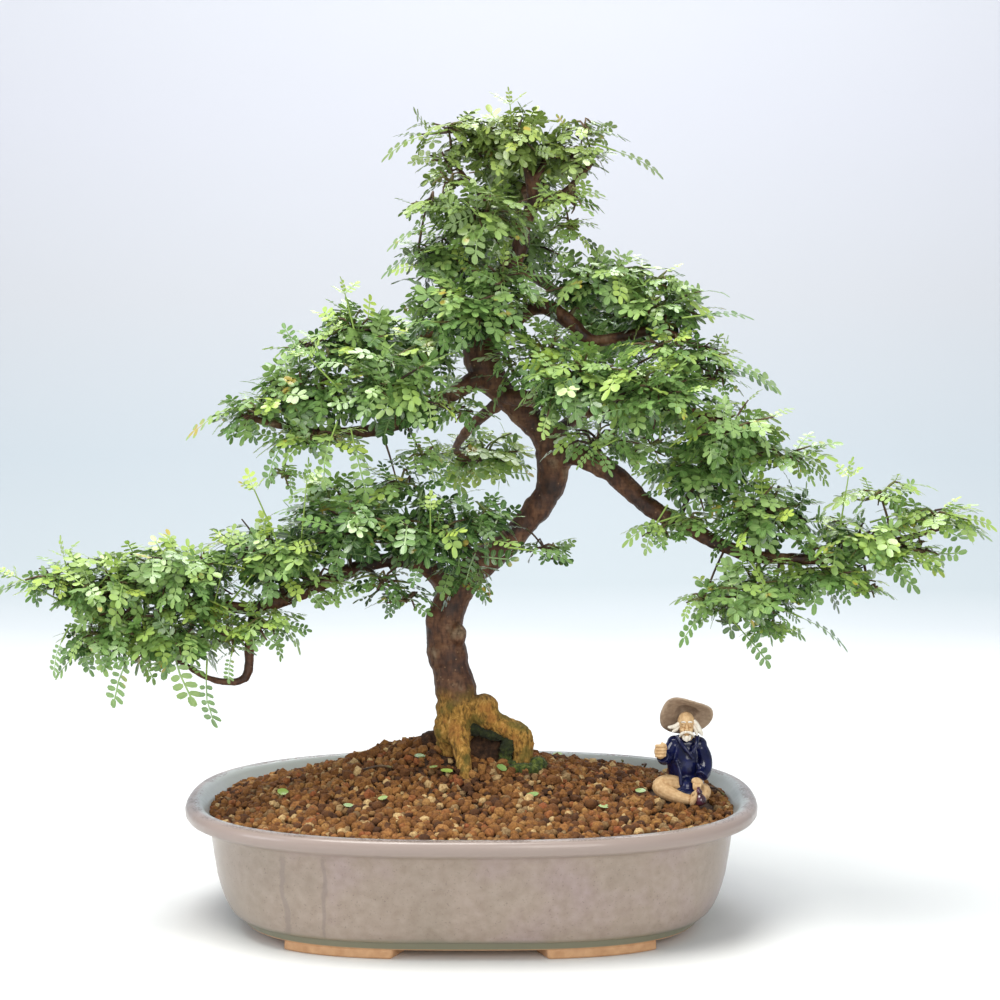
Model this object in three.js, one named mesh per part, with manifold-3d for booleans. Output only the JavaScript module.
// Japanese pepper bonsai in an oval glazed pot, with a small seated clay figure on the gravel.
// Millimetres, +Z up. The tree is worked out about the pot's centre at the bottom of its feet,
// and the whole group is then moved so that the middle of its footprint lies at the origin.
import * as THREE from 'three';
import { mergeVertices } from 'three/addons/utils/BufferGeometryUtils.js';
import Module from 'manifold-3d';

const wasm = await Module();
wasm.setup();

// Driving dimensions of the pot: half lengths are measured along X, and the oval's depth follows
const RIM_HALF_LENGTH = 186;
const DEPTH_RATIO = 0.78;
const POT_HEIGHT = 80;
const FOOT_HEIGHT = 6;
const FLOOR_TOP = 13;
const OVAL_POWER_BASE = 3;
const OVAL_POWER_RIM = 2.5;
const POT_SIDES = 28;
const DRAIN_HOLE_RADIUS = 9;
const DRAIN_HOLE_X = 62;
const FOOT_INNER_X = 48;
const FOOT_OUTER_X = 116;
const FOOT_INNER_Y = 50;
const FOOT_WIDTH = 24;

// Driving dimensions of what fills the pot
const GAP = 0.3;
const DRAINAGE_TOP = 25;
const SCREEN_SIZE = 32;
const SCREEN_THICKNESS = 1.2;
const SCREEN_HOLES = 3;
const SCREEN_HOLE_SIZE = 7;
const SOIL_EDGE_Z = 73;
const SOIL_CROWN = 7;
const HEAP_FADE = 3;
const GRAVEL_RELIEF = 1.1;
const SOIL_RINGS = 6;

// The low heaps of gravel about the trunk: middle, spread along X and Y, and height
const SOIL_MOUNDS = [
  { x: 10, y: 8, spreadX: 88, spreadY: 58, height: 20 },
  { x: -22, y: 22, spreadX: 24, spreadY: 22, height: 12 },
];

// Driving dimensions of the leaves and of the twiggy middles that they stand out of
const LEAF_LENGTH = 38;
const LEAF_HALF_WIDTH = 10;
const LEAF_THICKNESS = 0.8;
const LEAF_RIB = 1.1;
const LEAF_ARCH = 7;
const LEAFLET_PAIRS = 2;
const LEAF_OVERREACH = 1.12;
const LEAF_SIZE_RANGE = [0.65, 1.05];
const LEAF_RISE_RANGE = [-0.35, 0.85];
const LEAF_ROLL = 0.8;
const LEAVES_PER_SPRAY = 3;
const LEAF_TRIES = 24;
const CORE_RATIO = 0.44;
const CORE_RAGGEDNESS = 0.22;
const TWIG_RADIUS = 2.2;
const TWIG_LIFT = 3;
const LOWEST_TWIG_Z = 180;
const ROOTED_VOLUME = 0.8;
const CROSSING_VOLUME = 1e-6;

// How finely the round limbs are faceted: sides round them, and steps along them
const TRUNK_SIDES = 9;
const THICK_LIMB_RADIUS = 6;
const THICK_LIMB_SIDES = 6;
const LIMB_SIDES = 5;
const TWIG_SIDES = 3;
const TRUNK_STEP = 15;
const LIMB_STEP = 25;
const TWIG_STEP = 45;

// Seeds of the draws, one for the gravel, and one for each spray's core and leaves from these on
const GRAVEL_SEED = 7;
const CORE_SEED = 100;
const LEAF_SEED = 1000;

// Where the figure and the moss sit on the gravel
const FIGURE_X = 141;
const FIGURE_Y = -22;
const FIGURE_SEAT_Z = 78;
const FIGURE_SEAT_RADIUS = 25;
const MOSS_CENTRE = [39, -14, 99];
const MOSS_HALF = [12, 7, 5];

// The trunk's place along X, which the sprays grow away from, and the golden section
const TRUNK_X = 15;
const GOLDEN_SHARE = 0.618;

// The pot's outer wall from its base ring up to the lip, as half length and height
const POT_OUTSIDE = [
  [148, 6], [150, 9], [155, 12.5], [161, 22], [165.5, 36], [169.5, 60], [171, 68],
  [183, 70], [186, 73], [186, 76.5], [183, 79.5],
];

// The pot's inside from the crest of its lip down to the floor
const POT_INSIDE = [
  [178, 80], [173.5, 76], [168, 70], [163.5, 62], [157.5, 30], [151, 18], [142, FLOOR_TOP],
];

// Trunk, roots and branches, body by body: points of each middle line as x, y, z and the radius
// there. Each body is cut clear of the ones before it, so that a branch ends where it leaves the trunk.
const WOOD = {
  trunk_and_roots: {
    trunk: [
      [-13, 4, 66, 8], [-13, 4, 92, 9], [-13, 3, 108, 10], [-11, 1, 122, 13], [-9, 0, 134, 14.5],
      [-10, 0, 147, 13.8],
      [-14, 2, 167, 12.8], [-17, 4, 182, 12.3], [-15, 6, 198, 11.4], [-8, 8, 214, 11], [5, 10, 229, 10],
      [22, 11, 242, 8.8], [38, 12, 260, 8.6], [49, 12, 275, 9.2], [53, 11, 291, 11], [50, 10, 311, 10.2],
      [38, 8, 325, 9.2], [20, 4, 342, 9], [9, 0, 357, 11], [4, 0, 372, 10.5], [5, -1, 384, 8.2],
      [8, -3, 397, 7], [14, -6, 410, 6.4], [25, -8, 423, 6], [31, -8, 435, 5.4], [34, -6, 450, 4.8],
      [39, -6, 463, 4.4], [39, -8, 475, 3.8], [34, -10, 490, 3], [28, -12, 505, 2],
    ],
    crown_fork: [[39, -8, 470, 3.4], [44, -10, 484, 2.6], [50, -12, 497, 1.8]],
    crown_right: [
      [39, -6, 463, 3.8], [51, -10, 467, 3.2], [61, -12, 471, 2.8], [69, -14, 481, 2.2],
      [78, -14, 489, 1.6],
    ],
    crown_left: [[31, -7, 444, 3.6], [12, -6, 463, 2.8], [-6, -4, 478, 2.2], [-20, -4, 487, 1.6]],
    crown_back: [[36, -6, 455, 3.4], [38, 18, 466, 2.8], [33, 40, 480, 2.2], [32, 56, 487, 1.6]],
    shoulder: [[5, 0, 389, 4.4], [-10, -12, 402, 3.4], [-24, -16, 420, 2.6], [-34, -18, 432, 1.8]],
    root_arch: [
      [-4, -2, 140, 9], [6, -4, 137, 9], [13, -5, 133, 9], [22, -6, 124, 8], [30, -7, 118, 8],
      [33, -8, 108, 7], [33, -9, 96, 6], [33.5, -9, 82, 4.5],
    ],
    root_front: [
      [-9, -8, 127, 9], [-8, -15, 118, 7], [-6.2, -20, 110, 5.6], [-5, -24, 102, 5.2],
      [-3.6, -27, 95, 5.2], [-3, -29, 82, 4],
    ],
    root_left: [[-14, 0, 122, 11], [-15, 2, 112, 8], [-15, 4, 100, 6], [-16, 6, 84, 4]],
    root_back: [[-12, 6, 124, 9], [-10, 20, 112, 8], [-8, 32, 101, 6.5], [-8, 44, 86, 4]],
  },
  low_left_branch: {
    low_left: [
      [-13, 6, 209, 7], [-24, -2, 224, 6], [-40, -10, 233, 5.4], [-59, -18, 234, 5], [-78, -26, 229, 4.8],
      [-98, -34, 220, 4.6], [-118, -42, 212, 4.4], [-140, -48, 207, 4], [-168, -52, 210, 3.4],
      [-202, -56, 215, 2.8], [-236, -56, 219, 2.2], [-268, -56, 225, 1.5],
    ],
    hanging_left: [
      [-138, -47, 207, 3.6], [-145, -50, 190, 3.2], [-144, -50, 176, 2.8], [-162, -52, 172, 2.2],
      [-182, -55, 178, 1.6],
    ],
  },
  low_right_branch: {
    low_right: [
      [52, 10, 299, 9], [67, 4, 302, 8], [78, -2, 297, 7.4], [91, -8, 290, 7], [105, -16, 277, 6.4],
      [118, -24, 267, 6], [139, -34, 257, 5.2], [158, -42, 247, 4.6], [179, -48, 240, 4.2],
      [207, -52, 238, 3.6], [238, -54, 240, 2.8], [270, -53, 250, 2.2], [300, -52, 259, 1.5],
    ],
  },
  middle_left_branch: {
    middle_left: [
      [9, 0, 356, 6.4], [-11, -12, 342, 5.4], [-33, -20, 329, 4.8], [-58, -26, 320, 4.2],
      [-87, -30, 317, 3.6], [-115, -34, 321, 2.8], [-146, -37, 328, 1.8],
    ],
    peak_left: [[-33, -20, 329, 3.6], [-50, -24, 348, 3], [-66, -25, 368, 2.4], [-77, -24, 384, 1.6]],
  },
  middle_right_branch: {
    middle_right: [
      [22, 2, 340, 6], [44, -18, 338, 5], [72, -38, 341, 4.2], [106, -52, 339, 3.4],
      [144, -56, 330, 2.6], [168, -56, 321, 1.8],
    ],
  },
  upper_right_branch: {
    upper_right: [
      [4, 0, 373, 7.4], [27, -6, 389, 6], [44, -10, 398, 5.4], [61, -14, 389, 4.8], [76, -18, 376, 4.2],
      [96, -22, 378, 3.6], [118, -28, 384, 3], [146, -32, 378, 2.4], [166, -32, 370, 1.8],
    ],
  },
  low_back_branch: {
    low_back: [
      [22, 4, 338, 5], [8, 18, 327, 4.4], [-5, 36, 314, 4], [-12, 58, 302, 3.2], [-4, 78, 293, 2.4],
      [8, 92, 288, 1.6],
    ],
  },
  upper_back_right_branch: {
    upper_back_right: [[27, -6, 424, 4.4], [46, 26, 414, 3.6], [68, 56, 400, 2.8], [92, 82, 389, 1.8]],
  },
  upper_back_left_branch: {
    upper_back_left: [[7, 0, 391, 4.8], [-10, 28, 387, 3.8], [-30, 52, 380, 3], [-46, 72, 373, 1.8]],
  },
  middle_back_right_branch: {
    middle_back_right: [[50, 10, 311, 5], [66, 34, 322, 4], [88, 52, 330, 3], [110, 61, 332, 1.8]],
  },
  middle_back_left_branch: {
    middle_back_left: [[-17, 4, 186, 4.8], [-38, 20, 214, 4], [-62, 34, 240, 3], [-88, 40, 259, 1.8]],
  },
};

// Sprays of leaves: middle and half sizes of the space that each fills
const SPRAYS = {
  crown_top: { at: [28, -12, 507], half: [42, 38, 26] },
  crown_left: { at: [-20, -4, 486], half: [38, 32, 19] },
  crown_right: { at: [76, -13, 489], half: [40, 32, 20] },
  crown_back: { at: [32, 54, 486], half: [40, 34, 22] },
  crown_front: { at: [6, -46, 450], half: [40, 30, 24] },
  neck_back: { at: [34, 62, 440], half: [42, 34, 24] },
  shoulder_left: { at: [-26, -15, 431], half: [44, 34, 26] },
  shoulder_front: { at: [-4, -44, 392], half: [42, 28, 24] },
  upper_right_inner: { at: [82, -15, 421], half: [42, 36, 26] },
  upper_right_middle: { at: [127, -26, 401], half: [42, 34, 24] },
  upper_right_tip: { at: [164, -32, 372], half: [36, 30, 20] },
  upper_back_right: { at: [94, 80, 388], half: [46, 38, 28] },
  upper_back_left: { at: [-48, 72, 373], half: [46, 38, 28] },
  left_peak: { at: [-77, -23, 385], half: [36, 34, 28] },
  left_front: { at: [-50, -52, 344], half: [42, 32, 32] },
  left_middle: { at: [-109, -30, 347], half: [42, 34, 30] },
  left_tip: { at: [-148, -37, 331], half: [37, 30, 20] },
  right_inner: { at: [66, -58, 350], half: [40, 30, 26] },
  right_middle: { at: [113, -64, 343], half: [44, 32, 26] },
  right_tip: { at: [166, -58, 323], half: [40, 32, 22] },
  middle_back_right: { at: [112, 62, 332], half: [42, 36, 24] },
  low_back: { at: [10, 92, 288], half: [44, 34, 26] },
  low_right_inner: { at: [140, -34, 290], half: [44, 34, 24] },
  low_right_middle: { at: [198, -48, 270], half: [46, 36, 28] },
  low_right_hanging: { at: [180, -58, 214], half: [38, 32, 30] },
  low_right_outer: { at: [248, -54, 258], half: [38, 34, 22] },
  low_right_under: { at: [234, -54, 222], half: [34, 28, 20] },
  low_right_tip: { at: [299, -52, 261], half: [31, 26, 17] },
  low_left_inner: { at: [-22, -46, 254], half: [40, 28, 28] },
  low_left_top: { at: [-77, -48, 266], half: [46, 36, 29] },
  low_left_middle: { at: [-126, -45, 240], half: [42, 34, 28] },
  low_left_outer: { at: [-181, -54, 232], half: [42, 34, 26] },
  low_left_end: { at: [-231, -57, 222], half: [36, 32, 25] },
  low_left_tip: { at: [-268, -56, 227], half: [28, 24, 17] },
  low_left_hanging: { at: [-185, -56, 180], half: [38, 30, 28] },
  low_left_drooping: { at: [-237, -58, 180], half: [30, 26, 24] },
  middle_back_left: { at: [-90, 40, 262], half: [42, 36, 26] },
};

const coat = (color, roughness) => new THREE.MeshStandardMaterial({ color, roughness, metalness: 0 });
const FINISH = {
  pot: coat(0xa99e94, 0.35),
  screen: coat(0x2e4a3a, 0.7),
  drainage: coat(0xb9a58a, 0.95),
  soil: coat(0x9a6b3f, 0.95),
  bark: coat(0x6b4c3c, 0.85),
  moss: coat(0x55682a, 0.95),
  figure: coat(0x1b1d45, 0.3),
  leaf: coat(0x3f6b2c, 0.45),
};

// A seeded draw, so that every build grows the same tree
function seededDraw(seed) {
  let state = seed;
  return () => {
    state = (state + 0x6d2b79f5) | 0;
    let t = Math.imul(state ^ (state >>> 15), state | 1);
    t ^= t + Math.imul(t ^ (t >>> 7), t | 61);
    return ((t ^ (t >>> 14)) >>> 0) / 4294967296;
  };
}

// Closed geometry to a solid that can be joined and cut
function solidOf(geometry) {
  geometry.deleteAttribute('normal');
  geometry.deleteAttribute('uv');
  const merged = mergeVertices(geometry, 1e-3);
  return new wasm.Manifold(new wasm.Mesh({
    numProp: 3,
    vertProperties: new Float32Array(merged.attributes.position.array),
    triVerts: new Uint32Array(merged.index.array),
  }));
}

function joined(solids) {
  return solids.reduce((whole, solid) => whole.add(solid));
}

// The biggest body of a solid: loose scraps that a cut leaves are dropped
function mainBody(solid) {
  return solid.decompose().reduce((best, body) => (body.volume() > best.volume() ? body : best));
}

function meshOf(name, solid, material) {
  const { vertProperties, triVerts } = solid.getMesh();
  const geometry = new THREE.BufferGeometry();
  geometry.setAttribute('position', new THREE.BufferAttribute(new Float32Array(vertProperties), 3));
  geometry.setIndex(new THREE.BufferAttribute(new Uint32Array(triVerts), 1));
  geometry.computeVertexNormals();
  const mesh = new THREE.Mesh(geometry, material);
  mesh.name = name;
  return mesh;
}

// A box given by its low and high corners
function boxSolid(low, high) {
  const size = high.map((value, i) => value - low[i]);
  const box = new THREE.BoxGeometry(...size);
  box.translate(...low.map((value, i) => value + size[i] / 2));
  return solidOf(box);
}

function uprightCylinder(radius, lowZ, highZ, x, y) {
  const cylinder = new THREE.CylinderGeometry(radius, radius, highZ - lowZ, 20);
  cylinder.rotateX(Math.PI / 2);
  cylinder.translate(x, y, (lowZ + highZ) / 2);
  return solidOf(cylinder);
}

// An egg-shaped solid with its half sizes along X, Y and Z
function eggSolid(centre, half, across = 8, down = 5) {
  const egg = new THREE.SphereGeometry(1, across, down);
  egg.rotateX(Math.PI / 2);
  egg.scale(...half);
  egg.translate(...centre);
  return solidOf(egg);
}

// A turned solid pressed into the pot's oval, from its profile of half lengths and heights.
// The profile starts and ends on the axis, and shift moves a point after it is placed.
function ovalSolid(profile, shift = (x, y, z) => z) {
  const turned = new THREE.LatheGeometry(profile.map(([half, z]) => new THREE.Vector2(half, z)), POT_SIDES);
  turned.rotateX(Math.PI / 2);
  const places = turned.attributes.position;
  for (let i = 0; i < places.count; i += 1) {
    const z = places.getZ(i);
    const half = Math.hypot(places.getX(i), places.getY(i));
    const turn = Math.atan2(places.getY(i), places.getX(i));
    const level = THREE.MathUtils.clamp(z / POT_HEIGHT, 0, 1);
    const power = 2 / THREE.MathUtils.lerp(OVAL_POWER_BASE, OVAL_POWER_RIM, level);
    const squared = (value) => Math.sign(value) * Math.abs(value) ** power;
    const x = half * squared(Math.cos(turn));
    const y = half * DEPTH_RATIO * squared(Math.sin(turn));
    places.setXYZ(i, x, y, shift(x, y, z));
  }
  return solidOf(turned);
}

// A round limb that swells and tapers along a smooth line through its points.
// Extra thickens it all round, for the hole that it stands in.
function limbSolid(points, extra, sides, step) {
  const places = points.map(([x, y, z]) => new THREE.Vector3(x, y, z));
  const line = new THREE.CatmullRomCurve3(places, false, 'centripetal');
  const steps = Math.max(1, Math.round(line.getLength() / step));
  const { normals, binormals } = line.computeFrenetFrames(steps);
  const tube = new THREE.CylinderGeometry(1, 1, 1, sides, steps);
  const rings = tube.attributes.position;
  for (let i = 0; i < rings.count; i += 1) {
    const along = rings.getY(i) + 0.5;
    const ring = Math.round(along * steps);
    const index = line.getUtoTmapping(along) * (points.length - 1);
    const before = Math.min(Math.floor(index), points.length - 2);
    const radius = THREE.MathUtils.lerp(points[before][3], points[before + 1][3], index - before) + extra;
    const centre = line.getPointAt(along);
    centre.addScaledVector(normals[ring], rings.getX(i) * radius);
    centre.addScaledVector(binormals[ring], -rings.getZ(i) * radius);
    rings.setXYZ(i, centre.x, centre.y, centre.z);
  }
  return solidOf(tube);
}

// Pot: one glazed body with a rolled lip, four corner feet and two drain holes
function buildPot() {
  const bowl = ovalSolid([[0, FOOT_HEIGHT], ...POT_OUTSIDE, ...POT_INSIDE, [0, FLOOR_TOP]]);
  const [outer] = POT_OUTSIDE[0];
  const inner = outer - FOOT_WIDTH;
  const footRing = ovalSolid([[0, 0], [outer, 0], [outer, FOOT_HEIGHT + 1], [0, FOOT_HEIGHT + 1]])
    .subtract(ovalSolid([[0, -1], [inner, -1], [inner, POT_HEIGHT], [0, POT_HEIGHT]]));
  const feet = [];
  for (const sideX of [-1, 1]) {
    for (const sideY of [-1, 1]) {
      const xs = [sideX * FOOT_INNER_X, sideX * FOOT_OUTER_X].sort((a, b) => a - b);
      const ys = [sideY * FOOT_INNER_Y, sideY * RIM_HALF_LENGTH].sort((a, b) => a - b);
      feet.push(footRing.intersect(boxSolid([xs[0], ys[0], -1], [xs[1], ys[1], POT_HEIGHT])));
    }
  }
  const holes = [-1, 1].map((side) => (
    uprightCylinder(DRAIN_HOLE_RADIUS, -1, POT_HEIGHT / 2, side * DRAIN_HOLE_X, 0)));
  return joined([bowl, ...feet]).subtract(joined(holes));
}

// Screen: a square of plastic mesh over a drain hole, on the pot's floor
function buildScreen(side) {
  const left = side * DRAIN_HOLE_X - SCREEN_SIZE / 2;
  const front = -SCREEN_SIZE / 2;
  const lowZ = FLOOR_TOP + GAP;
  const pitch = SCREEN_SIZE / SCREEN_HOLES;
  const rim = (pitch - SCREEN_HOLE_SIZE) / 2;
  const far = [left + SCREEN_SIZE, front + SCREEN_SIZE, lowZ + SCREEN_THICKNESS];
  let mesh = boxSolid([left, front, lowZ], far);
  for (let i = 0; i < SCREEN_HOLES; i += 1) {
    for (let j = 0; j < SCREEN_HOLES; j += 1) {
      const [x, y] = [left + i * pitch + rim, front + j * pitch + rim];
      mesh = mesh.subtract(boxSolid([x, y, 0], [x + SCREEN_HOLE_SIZE, y + SCREEN_HOLE_SIZE, POT_HEIGHT]));
    }
  }
  return mesh;
}

// The pot's inside from the floor up to a height, drawn in by the gap that the filling keeps
function fillingProfile(lowZ, highZ) {
  const halfAt = (z) => {
    const upper = POT_INSIDE.findIndex(([, level]) => level <= z);
    const [[halfA, zA], [halfB, zB]] = [POT_INSIDE[upper - 1], POT_INSIDE[upper]];
    return THREE.MathUtils.mapLinear(z, zA, zB, halfA, halfB) - 2 * GAP;
  };
  const between = POT_INSIDE.map(([, z]) => z).filter((z) => z > lowZ && z < highZ).reverse();
  return [[0, lowZ], ...[lowZ, ...between, highZ].map((z) => [halfAt(z), z])];
}

// Drainage layer: coarse grit on the floor, hollowed where it lies over the screens
function buildDrainage() {
  const lowZ = FLOOR_TOP + GAP;
  const grit = ovalSolid([...fillingProfile(lowZ, DRAINAGE_TOP), [0, DRAINAGE_TOP]]);
  const pockets = [-1, 1].map((side) => {
    const half = SCREEN_SIZE / 2 + GAP;
    const x = side * DRAIN_HOLE_X;
    return boxSolid([x - half, -half, 0], [x + half, half, lowZ + SCREEN_THICKNESS + GAP]);
  });
  return grit.subtract(joined(pockets));
}

// Height of the gravel at a place: a low crown over the whole bed, with heaps at the trunk
function gravelHeight(x, y) {
  const [edgeHalf] = fillingProfile(DRAINAGE_TOP, SOIL_EDGE_Z).at(-1);
  const outward = Math.min(1, Math.hypot(x / edgeHalf, y / (edgeHalf * DEPTH_RATIO)));
  const heaps = SOIL_MOUNDS.map((heap) => {
    const away = ((x - heap.x) / heap.spreadX) ** 2 + ((y - heap.y) / heap.spreadY) ** 2;
    return heap.height * Math.exp(-away / 2);
  });
  const shoulder = 1 - outward ** 2;
  const heaped = heaps.reduce((sum, heap) => sum + heap, 0) * Math.min(1, HEAP_FADE * shoulder);
  return SOIL_EDGE_Z + SOIL_CROWN * shoulder + heaped;
}

// Soil bed: grains of fired clay round the roots, as one mass with a rough top
function buildSoil(woodHole, mossHole) {
  const walls = fillingProfile(DRAINAGE_TOP + GAP, SOIL_EDGE_Z);
  const [edgeHalf] = walls.at(-1);
  const rings = [];
  for (let ring = SOIL_RINGS - 1; ring >= 0; ring -= 1) {
    rings.push([edgeHalf * ring / SOIL_RINGS, SOIL_EDGE_Z]);
  }
  const draw = seededDraw(GRAVEL_SEED);
  const roughness = new Map();
  const top = (x, y, z) => {
    if (z < SOIL_EDGE_Z - GAP) return z;
    const key = `${Math.round(x * 10)} ${Math.round(y * 10)}`;
    if (!roughness.has(key)) roughness.set(key, (draw() - 0.5) * 2 * GRAVEL_RELIEF);
    return Math.max(z, gravelHeight(x, y) + roughness.get(key));
  };
  const seat = uprightCylinder(FIGURE_SEAT_RADIUS, FIGURE_SEAT_Z, 2 * POT_HEIGHT, FIGURE_X, FIGURE_Y);
  const bed = ovalSolid([...walls, ...rings], top);
  return mainBody(bed.subtract(woodHole).subtract(mossHole).subtract(seat));
}

// Figure: a seated old man in a wide hat, one piece of fired clay, facing the front of the pot
function buildFigure() {
  const robe = [
    eggSolid([-1, 4, 24], [13.5, 11, 18]),
    eggSolid([-1, 1, 9], [17, 14, 10]),
    eggSolid([-1, 4, 37], [13, 8, 6]),
    limbSolid([[-11, 3, 38, 4], [-17, -3, 28, 4.2], [-18.5, -11, 33, 3.6]], 0, 5, 10),
    limbSolid([[10, 3, 38, 4], [14, -2, 27, 4.2], [6.5, -13, 15.5, 3.4]], 0, 5, 10),
  ];
  const skin = [
    limbSolid([[-1, 3, 37, 4.4], [-1.5, 1, 42, 4], [-2, -1, 48, 4]], 0, 5, 10),
    eggSolid([-2, -1, 50], [6, 6.4, 7.6]),
    eggSolid([-2, -7.2, 49.5], [1.5, 1.8, 2], 6, 4),
    eggSolid([-2, -5.5, 44], [3.8, 2.8, 4.5], 6, 4),
    eggSolid([-8, -1, 49], [2.4, 3, 3.6], 6, 4),
    eggSolid([4.5, -1, 49], [2.6, 3, 4.2], 6, 4),
    eggSolid([-18.5, -11, 36], [3.6, 3.2, 5], 6, 4),
    eggSolid([6, -13, 15], [4.4, 3.6, 3.2], 6, 4),
    limbSolid([[-6, 0, 9, 6], [-20, -8, 14, 5.4], [-12, -13, 6, 4], [-2, -15, 3.5, 3.4]], 0, 5, 10),
    limbSolid([[6, 0, 8, 6], [15, -8, 8, 5], [8, -14, 4, 3.6]], 0, 5, 10),
    eggSolid([-1, -18, 4.5], [3.4, 5, 4.2], 6, 4),
  ];
  const hat = new THREE.LatheGeometry([
    [0, -1], [15.5, -2.6], [16.6, -1.2], [15, 0.6], [8.6, 1.8], [6.8, 6.6], [0, 9],
  ].map(([r, z]) => new THREE.Vector2(r, z)), 11);
  hat.rotateX(Math.PI / 2 + THREE.MathUtils.degToRad(-32));
  hat.translate(-2.5, 2, 56.5);
  const gourd = new THREE.LatheGeometry([
    [0, 0], [3.4, 0.5], [4.4, 3.2], [3, 5.8], [1.9, 6.8], [2.7, 8.6], [1.6, 10.4], [0, 10.8],
  ].map(([r, z]) => new THREE.Vector2(r, z)), 6);
  gourd.rotateX(Math.PI / 2);
  gourd.translate(7.5, -14.5, 0.4);
  const underside = boxSolid([-60, -60, -60], [60, 60, 0]);
  return joined([...robe, ...skin, solidOf(hat), solidOf(gourd)]).subtract(underside)
    .translate([FIGURE_X, FIGURE_Y, FIGURE_SEAT_Z + GAP]);
}

// One compound leaf: leaflets cut to the rib in a thin blade that arches along its length.
// It lies along +X from its root and faces up before it is turned to its place.
function leafBlade(size, plump = 0) {
  const length = LEAF_LENGTH * size;
  const wide = LEAF_HALF_WIDTH * size + plump;
  const rib = LEAF_RIB + plump;
  const stalk = length * 0.18;
  const pitch = (length * 0.86 - stalk) / LEAFLET_PAIRS;
  const side = [[0, rib]];
  for (let pair = 0; pair < LEAFLET_PAIRS; pair += 1) {
    const root = stalk + pair * pitch;
    side.push([root + pitch * 0.62, wide * (1 - 0.12 * pair)], [root + pitch * 0.96, rib]);
  }
  side.push([length + plump, wide * 0.38]);
  const outline = new THREE.Shape();
  outline.setFromPoints([
    ...side.map(([x, y]) => new THREE.Vector2(x, -y)),
    ...side.toReversed().map(([x, y]) => new THREE.Vector2(x, y)),
  ]);
  const thickness = LEAF_THICKNESS + 2 * plump;
  const blade = new THREE.ExtrudeGeometry(outline, { depth: thickness, bevelEnabled: false });
  const places = blade.attributes.position;
  for (let i = 0; i < places.count; i += 1) {
    const along = places.getX(i) / length;
    places.setZ(i, places.getZ(i) - thickness / 2 + LEAF_ARCH * size * (along - along ** 2 * 1.5));
  }
  return blade;
}

// Where a leaf stands on its spray's core: its root, the way it points, its roll and its size.
// The leaves go round the core, the first of them away from the trunk.
// A leaf that found no room is tried again deeper in the core and further round.
function leafPlacement({ at, half }, index, draw, attempt) {
  const tried = attempt / LEAF_TRIES;
  const outward = Math.atan2(at[1], at[0] - TRUNK_X);
  const azimuth = outward + (index / LEAVES_PER_SPRAY) * 2 * Math.PI + (draw() - 0.5) * (0.6 + 1.6 * tried);
  const share = (index * GOLDEN_SHARE + draw() * 0.4) % 1;
  const rise = THREE.MathUtils.lerp(...LEAF_RISE_RANGE, share);
  const forward = new THREE.Vector3(Math.cos(azimuth), Math.sin(azimuth), Math.tan(rise)).normalize();
  const space = new THREE.Vector3(...half);
  const start = forward.clone().multiply(space).multiplyScalar(CORE_RATIO * (0.9 - 0.4 * tried));
  const reach = forward.clone().multiply(space).length() * LEAF_OVERREACH;
  const size = THREE.MathUtils.clamp((reach - start.length()) / LEAF_LENGTH, ...LEAF_SIZE_RANGE);
  return { root: start.add(new THREE.Vector3(...at)), forward, roll: (draw() - 0.5) * 2 * LEAF_ROLL, size };
}

function placedLeaf({ root, forward, roll, size }, plump = 0) {
  const across = new THREE.Vector3(0, 0, 1).cross(forward).normalize();
  const face = forward.clone().cross(across);
  const turn = new THREE.Matrix4().makeBasis(forward, across, face).setPosition(root);
  const blade = leafBlade(size, plump);
  blade.applyMatrix4(turn.multiply(new THREE.Matrix4().makeRotationX(roll)));
  return solidOf(blade);
}

// The ragged middle of a spray, where its twigs and oldest leaves crowd together
function coreSolid(spray, seed, extra = 0) {
  const draw = seededDraw(seed);
  const ball = new THREE.DodecahedronGeometry(1).deleteAttribute('normal').deleteAttribute('uv');
  const core = mergeVertices(ball, 1e-3);
  const places = core.attributes.position;
  for (let i = 0; i < places.count; i += 1) {
    const swell = CORE_RATIO * (1 + (draw() - 0.5) * 2 * CORE_RAGGEDNESS);
    const [x, y, z] = spray.half.map((half, axis) => (
      spray.at[axis] + places.getComponent(i, axis) * (half * swell + extra)));
    places.setXYZ(i, x, y, z);
  }
  return solidOf(core);
}

// Limbs and, for each spray that no limb runs into, a twig from the nearest limb to its middle,
// which belongs to that limb's body
function woodRoutes() {
  const routes = Object.entries(WOOD).flatMap(([body, limbs]) => (
    Object.entries(limbs).map(([name, points]) => {
      if (name === 'trunk') return { body, points, sides: TRUNK_SIDES, step: TRUNK_STEP };
      const thick = points[0][3] > THICK_LIMB_RADIUS;
      return { body, points, sides: thick ? THICK_LIMB_SIDES : LIMB_SIDES, step: LIMB_STEP };
    })));
  const reachable = routes.flatMap(({ body, points }) => {
    const line = new THREE.CatmullRomCurve3(points.map(([x, y, z]) => new THREE.Vector3(x, y, z)));
    return line.getPoints(4 * points.length).map((point) => ({ body, point }));
  }).filter(({ point }) => point.z > LOWEST_TWIG_Z);
  for (const { at, half } of Object.values(SPRAYS)) {
    const centre = new THREE.Vector3(...at);
    const start = reachable.reduce((best, other) => (
      other.point.distanceTo(centre) < best.point.distanceTo(centre) ? other : best));
    if (start.point.distanceTo(centre) > half[2] * CORE_RATIO) {
      const bend = start.point.clone().lerp(centre, 0.5).add(new THREE.Vector3(0, 0, TWIG_LIFT));
      const points = [[start.point, 1], [bend, 0.8], [centre, 0.6]].map(([point, share]) => (
        [point.x, point.y, point.z, TWIG_RADIUS * share]));
      routes.push({ body: start.body, points, sides: TWIG_SIDES, step: TWIG_STEP });
    }
  }
  return routes;
}

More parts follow.
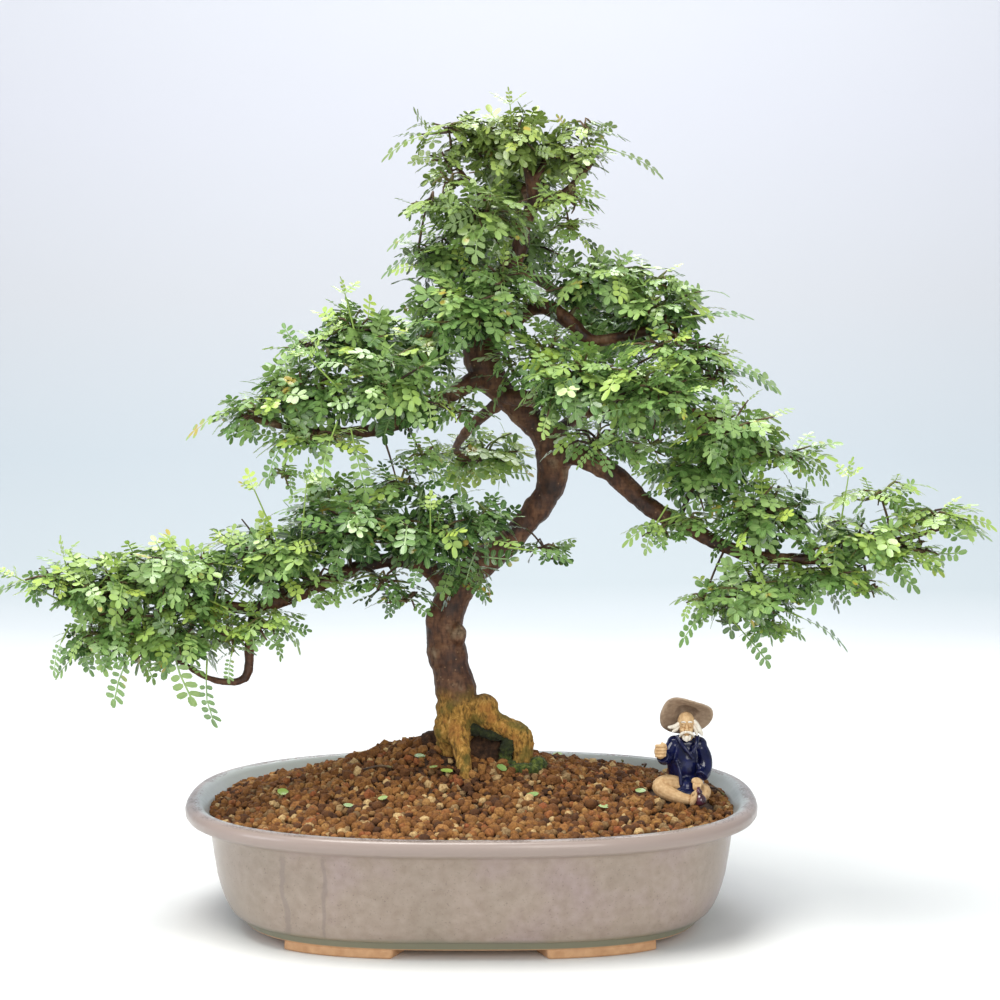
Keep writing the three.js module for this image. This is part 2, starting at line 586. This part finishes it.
// One wooden body as its limbs joined, or all of the wood where no body is named
function woodSolid(extra = 0, wanted = null) {
  const routes = woodRoutes().filter(({ body }) => !wanted || body === wanted);
  return joined(routes.map(({ points, sides, step }) => limbSolid(points, extra, sides, step)));
}

// The wooden bodies in their order, each cut clear of the ones before it
function buildWood() {
  let taken = null;
  return Object.keys(WOOD).map((name) => {
    const whole = woodSolid(0, name);
    const solid = mainBody(taken ? whole.subtract(taken) : whole);
    const fat = woodSolid(GAP, name);
    taken = taken ? taken.add(fat) : fat;
    return { name, solid };
  });
}

function boxesTouch(a, b) {
  return [0, 1, 2].every((axis) => a.min[axis] < b.max[axis] && b.min[axis] < a.max[axis]);
}

// Sprays: each core is cut clear of the wood and of earlier cores, and each leaf is tried at a
// few places and kept where it crosses nothing but its own spray
function buildSprays(wood, woodHole, others) {
  const names = Object.keys(SPRAYS);
  const fixed = others.map((solid) => ({ solid, box: solid.boundingBox() }));
  const sprays = [];
  names.forEach((name, order) => {
    const spray = SPRAYS[name];
    let core = coreSolid(spray, CORE_SEED + order);
    for (const earlier of sprays) {
      if (boxesTouch(core.boundingBox(), earlier.fat.boundingBox())) core = core.subtract(earlier.fat);
    }
    core = mainBody(core.subtract(woodHole));
    sprays.push({ name, spray, order, core, body: core, fat: coreSolid(spray, CORE_SEED + order, GAP) });
  });
  for (const own of sprays) {
    const draw = seededDraw(LEAF_SEED + own.order);
    const leaves = [];
    for (let index = 0; index < LEAVES_PER_SPRAY; index += 1) {
      for (let attempt = 0; attempt < LEAF_TRIES; attempt += 1) {
        const placement = leafPlacement(own.spray, index, draw, attempt);
        const plump = placedLeaf(placement, GAP);
        const box = plump.boundingBox();
        const rivals = [...fixed, ...sprays.filter((other) => other !== own).map((other) => (
          { solid: other.body, box: other.body.boundingBox() }))];
        const clear = rivals.every((rival) => (
          !boxesTouch(box, rival.box) || plump.intersect(rival.solid).isEmpty()));
        if (clear && plump.subtract(own.core).intersect(wood).volume() < CROSSING_VOLUME) {
          const leaf = placedLeaf(placement);
          if (leaf.intersect(own.core).volume() > ROOTED_VOLUME) {
            leaves.push(leaf);
            break;
          }
        }
      }
    }
    own.body = mainBody(joined([own.core, ...leaves]).subtract(woodHole));
  }
  return sprays;
}

const wood = woodSolid();
const woodHole = woodSolid(GAP);
const moss = mainBody(eggSolid(MOSS_CENTRE, MOSS_HALF).subtract(woodHole));
const mossHole = eggSolid(MOSS_CENTRE, MOSS_HALF.map((half) => half + GAP));
const pot = buildPot();
const soil = buildSoil(woodHole, mossHole);
const figure = buildFigure();
const sprays = buildSprays(wood, woodHole, [pot, soil, figure]);

const bonsai = new THREE.Group();
bonsai.add(
  meshOf('pot', pot, FINISH.pot),
  meshOf('drain_screen_left', buildScreen(-1), FINISH.screen),
  meshOf('drain_screen_right', buildScreen(1), FINISH.screen),
  meshOf('drainage_layer', buildDrainage(), FINISH.drainage),
  meshOf('soil_bed', soil, FINISH.soil),
  ...buildWood().map(({ name, solid }) => meshOf(name, solid, FINISH.bark)),
  meshOf('moss_cushion', moss, FINISH.moss),
  meshOf('seated_figure', figure, FINISH.figure),
  ...sprays.map(({ name, body }) => meshOf(`foliage_${name}`, body, FINISH.leaf)),
);

const footprint = new THREE.Box3().setFromObject(bonsai);
const middle = footprint.getCenter(new THREE.Vector3());
bonsai.position.set(-middle.x, -middle.y, -footprint.min.z);

export default bonsai;
